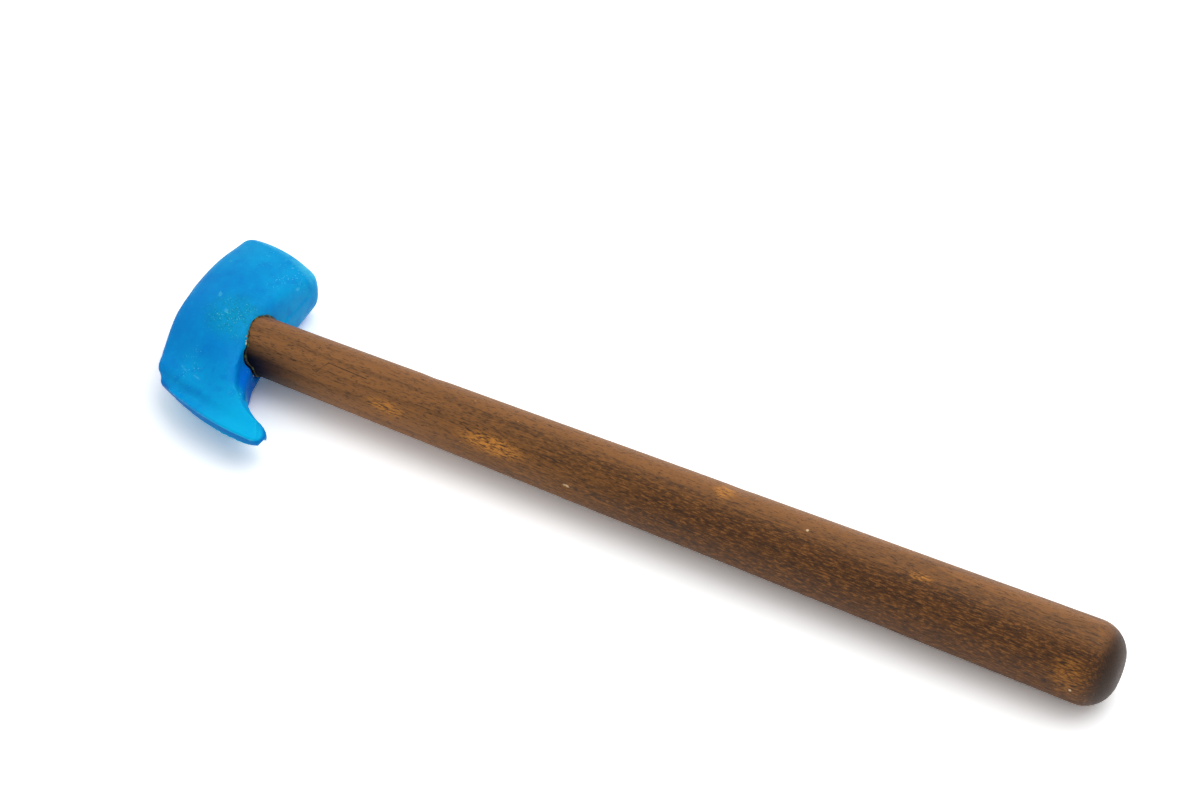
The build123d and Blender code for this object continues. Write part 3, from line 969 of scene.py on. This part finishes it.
@dataclass
class TurnedHandle:
    """The handle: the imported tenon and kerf, with a finer turned shaft grown out of them."""
    cut_mm: float = 11.5  # where the shaft takes over, hidden inside the head
    ring_step_mm: float = 2.0
    arc_cuts: int = 1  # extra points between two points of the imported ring
    wander_mm: float = 0.14  # how far the turning strays from round and straight
    wander_wave_mm: float = 8.0  # round the shaft
    wander_stretch: float = 6.0  # how much longer the same waves are along it
    wear_from_mm: float = 17.5  # just outside the eye
    wear_full_mm: float = 30.0  # this much further on, the wandering has its full depth
    dents: tuple[tuple[Point, float, float], ...] = (  # middle, radius and depth
        ((149.0, -11.7, 15.6), 2.2, 0.5),
        ((119.0, -10.0, 19.5), 12.0, 0.22),
        ((204.0, 6.0, 25.0), 7.0, 0.25),
        ((262.0, -12.0, 10.0), 9.0, 0.25),
        ((86.0, 8.0, 22.0), 5.0, 0.2),
        ((300.0, -4.0, 27.0), 6.0, 0.22),
        ((318.0, 11.0, 20.0), 5.0, 0.25),
        ((327.0, -12.5, 9.0), 3.0, 0.3),
    )

    def build(self) -> Piece:
        """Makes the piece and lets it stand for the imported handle.

        Returns:
            The piece.
        """
        shape = bmesh.new()
        shape.from_mesh(frame["nodes"]["handle"].data)
        bmesh.ops.remove_doubles(shape, verts=shape.verts, dist=mm(0.005))
        profile = self.packed_profile(shape)
        ring = self.cut_ring(shape)
        for distance, radius in self.stations(profile):
            ring = self.next_ring(shape, ring, distance, radius)
        tip = shape.verts.new((profile[-1][0], 0.0, AXIS_Z))
        for number, vertex in enumerate(ring):
            shape.faces.new((vertex, ring[(number + 1) % len(ring)], tip))
        self.wear(shape)
        bmesh.ops.recalc_face_normals(shape, faces=shape.faces)
        shade_by_angle(shape, 40.0)
        handle = link_piece("turned_handle", shape)
        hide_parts("handle")
        return handle

    def dress(self, handle: Piece) -> None:
        """Gives the handle its stained wood."""
        dress_piece(handle, StainedWalnut().material())

    def packed_profile(self, shape: Shape) -> list[Limits]:
        """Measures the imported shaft.

        Args:
            shape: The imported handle.

        Returns:
            Position along the axis and radius of each of its rings.
        """
        radii: dict[float, float] = {}
        for vertex in shape.verts:
            if vertex.co.x > mm(self.cut_mm):
                place = round(vertex.co.x, 5)
                radius = math.hypot(vertex.co.y, vertex.co.z - AXIS_Z)
                radii[place] = max(radii.get(place, 0.0), radius)
        return sorted(radii.items())

    def cut_ring(self, shape: Shape) -> list[Vertex]:
        """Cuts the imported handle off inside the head.

        Args:
            shape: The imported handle.

        Returns:
            The ring of points round the opening, in order.
        """
        geometry = [*shape.verts, *shape.edges, *shape.faces]
        plane = Vector((mm(self.cut_mm), 0.0, 0.0))
        bmesh.ops.bisect_plane(shape, geom=geometry, plane_co=plane, plane_no=(1.0, 0.0, 0.0),
                               clear_outer=True)

        def on_cut(vertex: Vertex) -> bool:
            """Whether a point lies on the cut."""
            return abs(vertex.co.x - plane.x) < mm(0.001)

        open_edges = [edge for edge in shape.edges if edge.is_boundary and
                      all(on_cut(vertex) for vertex in edge.verts)]
        radius = max(math.hypot(vertex.co.y, vertex.co.z - AXIS_Z)
                     for edge in open_edges for vertex in edge.verts)
        bmesh.ops.subdivide_edges(shape, edges=open_edges, cuts=self.arc_cuts)
        ring = [vertex for vertex in shape.verts if on_cut(vertex)]
        for vertex in ring:
            vertex.co.yz = self.on_circle(vertex, radius)
        return sorted(ring, key=self.angle_of)

    def angle_of(self, vertex: Vertex) -> float:
        """Angle of a point about the handle's axis."""
        return math.atan2(vertex.co.z - AXIS_Z, vertex.co.y)

    def on_circle(self, vertex: Vertex, radius: float) -> Limits:
        """Y and Z at a point's angle about the axis, on a circle of this radius."""
        angle = self.angle_of(vertex)
        return radius * math.cos(angle), AXIS_Z + radius * math.sin(angle)

    def stations(self, profile: list[Limits]) -> list[Limits]:
        """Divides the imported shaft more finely.

        Args:
            profile: Position and radius of each of its rings.

        Returns:
            The same of the new rings, close together all along the shaft.
        """
        cut = mm(self.cut_mm)
        rings = [(cut, profile[0][1]), *profile[:-1]]
        stations = []
        for (start, first), (end, last) in zip(rings, rings[1:]):
            steps = max(1, round((end - start) / mm(self.ring_step_mm)))
            for step in range(1, steps + 1):
                share = step / steps
                stations.append((start + (end - start) * share, first + (last - first) * share))
        return stations

    def next_ring(
        self, shape: Shape, ring: list[Vertex], distance: float, radius: float,
    ) -> list[Vertex]:
        """Adds one ring of the shaft, joined to the last one.

        Args:
            shape: The handle's mesh.
            ring: The last ring, in order.
            distance: Position of the new ring along X.
            radius: Its radius.

        Returns:
            The new ring, in the same order.
        """
        added = [shape.verts.new((distance, *self.on_circle(vertex, radius)))
                 for vertex in ring]
        join_rings(shape, ring, added)
        return added

    def wear(self, shape: Shape) -> None:
        """Wanders the shaft's surface a little inwards and presses the dents into it.

        Args:
            shape: The handle.
        """
        for vertex in shape.verts:
            beyond = vertex.co.x - mm(self.wear_from_mm)
            if beyond < 0.0:
                continue
            axis = Vector((vertex.co.x, 0.0, AXIS_Z))
            inward = (axis - vertex.co).normalized()
            stretched = Vector((vertex.co.x / self.wander_stretch, vertex.co.y, vertex.co.z))
            wave = noise.noise(stretched * per_mm(self.wander_wave_mm))
            growing = min(beyond / mm(self.wear_full_mm), 1.0)
            depth = mm(self.wander_mm) * growing * (wave + 1.0) / 2.0
            for centre, reach, deepest in self.dents:
                away = (vertex.co - mm_vector(centre)).length / mm(reach)
                if away < 1.0:
                    depth += mm(deepest) * (1.0 - away * away) ** 2
            vertex.co += inward * depth


class EyeWedge:
    """The wedge, which is used as it was packed."""

    def dress(self) -> None:
        """Gives the wedge its bare wood."""
        dress_piece(frame["nodes"]["eye_wedge"], SandedBeech().material())


@dataclass
class GlueLine:
    """Adhesive that was squeezed out of the eye and set round its mouth, and its chips."""
    points_round: int = 180
    section_points: int = 8
    clearance_mm: float = 1.3  # outside the shaft, where the mouth is looked for
    thickness_mm: Limits = (0.35, 0.95)
    coarse_waves: float = 2.3  # how quickly the thickness changes round the mouth
    fine_waves: float = 11.0
    chip_degrees: tuple[float, ...] = (127.0, 134.0, 139.0, 205.0, 301.0)
    chip_mm: Limits = (0.25, 0.5)
    seed: int = 11

    def build(self, head: Piece) -> tuple[Piece, Piece]:
        """Makes the bead and the chips.

        Args:
            head: The casting that the adhesive lies against.

        Returns:
            The bead and the chips, each one piece.
        """
        skin = BVHTree.FromObject(head, bpy.context.evaluated_depsgraph_get())
        return self.bead(skin), self.chips(skin)

    def dress(self, bead: Piece, chips: Piece) -> None:
        """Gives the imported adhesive, the bead and the chips their glue.

        Args:
            bead: The squeezed-out line.
            chips: The flakes beside it.
        """
        glue = CuredAdhesive().material()
        dress_piece(frame["nodes"]["adhesive"], glue)
        dress_piece(bead, glue)
        dress_piece(chips, DriedGlueChip().material())

    def mouth(self, skin: BVHTree, angle: float) -> Vector:
        """Finds the head's side just outside the shaft.

        Args:
            skin: The casting.
            angle: Where to look, about the handle's axis.

        Returns:
            The point of the casting.
        """
        outward = Vector((0.0, math.cos(angle), math.sin(angle)))
        radius = self.shaft_radius() + mm(self.clearance_mm)
        start = Vector((mm(60.0), 0.0, AXIS_Z)) + outward * radius
        hit, _, _, _ = skin.ray_cast(start, Vector((-1.0, 0.0, 0.0)))
        return hit

    def shaft_radius(self) -> float:
        """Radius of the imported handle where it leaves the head."""
        near = [vertex.co for vertex in frame["nodes"]["handle"].data.vertices
                if mm(15.0) < vertex.co.x < mm(17.0)]
        return max(math.hypot(point.y, point.z - AXIS_Z) for point in near)

    def bead(self, skin: BVHTree) -> Piece:
        """Makes the squeezed-out line.

        Args:
            skin: The casting that it lies against.

        Returns:
            A closed tube of uneven thickness.
        """
        shape = bmesh.new()
        rings = []
        thin, thick = self.thickness_mm
        for number in range(self.points_round):
            angle = math.tau * number / self.points_round
            outward = Vector((0.0, math.cos(angle), math.sin(angle)))
            on_head = self.mouth(skin, angle)
            middle = Vector((on_head.x, 0.0, AXIS_Z)) + outward * self.shaft_radius()
            along = math.cos(angle), math.sin(angle)
            coarse = noise.noise(Vector((*along, 0.3)) * self.coarse_waves)
            fine = noise.noise(Vector((*along, 0.7)) * self.fine_waves)
            share = min(max(0.5 + 0.5 * coarse + 0.6 * fine, 0.0), 1.0)
            size = mm(thin + (thick - thin) * share)
            ring = []
            for step in range(self.section_points):
                turn = math.tau * step / self.section_points
                offset = Vector((math.cos(turn), 0.0, 0.0)) + outward * math.sin(turn)
                ring.append(shape.verts.new(middle + offset * size))
            rings.append(ring)
        for ring, following in zip(rings, [*rings[1:], rings[0]]):
            join_rings(shape, ring, following)
        bmesh.ops.recalc_face_normals(shape, faces=shape.faces)
        shade_by_angle(shape, 180.0)
        return link_piece("glue_bead", shape)

    def chips(self, skin: BVHTree) -> Piece:
        """Makes the broken flakes of glue that stuck beside the line.

        Args:
            skin: The casting that they lie on.

        Returns:
            All of the flakes.
        """
        dice = random.Random(self.seed)
        shape = bmesh.new()
        for degrees in self.chip_degrees:
            place = self.mouth(skin, math.radians(degrees))
            size = mm(dice.uniform(*self.chip_mm))
            flake = bmesh.ops.create_icosphere(shape, subdivisions=2, radius=size)
            for vertex in flake["verts"]:
                uneven = 1.0 + 0.5 * noise.noise(vertex.co * per_mm(0.6) + place * per_mm(1.0))
                vertex.co = Vector((vertex.co.x * 0.6, vertex.co.y, vertex.co.z * 1.3)) * uneven
                vertex.co += place
        shade_by_angle(shape, 25.0)
        return link_piece("glue_chips", shape)


# ---- studio ----

@dataclass
class Studio:
    """White table, soft light from above and behind, and the camera."""
    table_size: float = 8.0
    lens_mm: float = 69.0
    sensor_mm: float = 36.0
    aim_mm: Point = (137.6, 32.7, 14.0)
    distance_mm: float = 800.2
    elevation_degrees: float = 42.0
    heading_degrees: float = 118.87
    sky_strength: float = 0.68
    softbox_size: float = 1.2
    softbox_place: Point = (450.0, 380.0, 1050.0)
    softbox_watts: float = 6.5

    def build(self) -> None:
        """Sets up the table, the light and the camera."""
        self.table()
        self.light()
        self.camera()
        bpy.context.scene.view_settings.view_transform = "Standard"

    def table(self) -> None:
        """A flat table top at the height where the hammer rests."""
        shape = bmesh.new()
        bmesh.ops.create_grid(shape, x_segments=8, y_segments=8, size=self.table_size / 2.0)
        mesh = bpy.data.meshes.new("table")
        shape.to_mesh(mesh)
        shape.free()
        table = add_object("table", mesh)
        table.location.z = CAD_BOX[0].z
        mesh.materials.append(PaleTable().material())

    def light(self) -> None:
        """An even sky and one large softbox."""
        world = bpy.data.worlds.new("studio")
        world.use_nodes = True
        background = world.node_tree.nodes["Background"]
        background.inputs["Color"].default_value = colour("#FFFFFF")
        background.inputs["Strength"].default_value = self.sky_strength
        bpy.context.scene.world = world
        lamp = bpy.data.lights.new("softbox", "AREA")
        lamp.size = self.softbox_size
        lamp.energy = self.softbox_watts
        softbox = add_object("softbox", lamp)
        softbox.location = mm_vector(self.softbox_place)
        towards = mm_vector(self.aim_mm) - softbox.location
        softbox.rotation_euler = towards.to_track_quat("-Z", "Y").to_euler()

    def camera(self) -> None:
        """The camera looks down at the hammer from the blade's side, past the butt."""
        lens = bpy.data.cameras.new("camera")
        lens.lens = self.lens_mm
        lens.sensor_width = self.sensor_mm
        lens.dof.use_dof = False
        camera = add_object("camera", lens)
        down = math.radians(self.elevation_degrees)
        heading = math.radians(self.heading_degrees)
        forward = Vector((math.cos(down) * math.cos(heading), math.cos(down) * math.sin(heading),
                          -math.sin(down)))
        camera.location = mm_vector(self.aim_mm) - forward * mm(self.distance_mm)
        camera.rotation_euler = forward.to_track_quat("-Z", "Y").to_euler()
        bpy.context.scene.camera = camera


def main() -> None:
    """Builds and dresses every piece in order, then the studio."""
    logging.basicConfig(level=logging.INFO, format="%(message)s")

    casting = CastHead()
    head = casting.build()
    casting.dress(head)
    log.info("cast head: %d faces", len(head.data.polygons))

    turning = TurnedHandle()
    handle = turning.build()
    turning.dress(handle)
    log.info("turned handle: %d faces", len(handle.data.polygons))

    EyeWedge().dress()
    log.info("eye wedge: packed piece, dressed")

    glue = GlueLine()
    bead, chips = glue.build(head)
    glue.dress(bead, chips)
    log.info("adhesive: packed piece, dressed")
    log.info("glue line: %d faces, chips: %d", len(bead.data.polygons), len(chips.data.polygons))

    Studio().build()
    log.info("studio: table, light and camera")


if __name__ == "__main__":
    main()
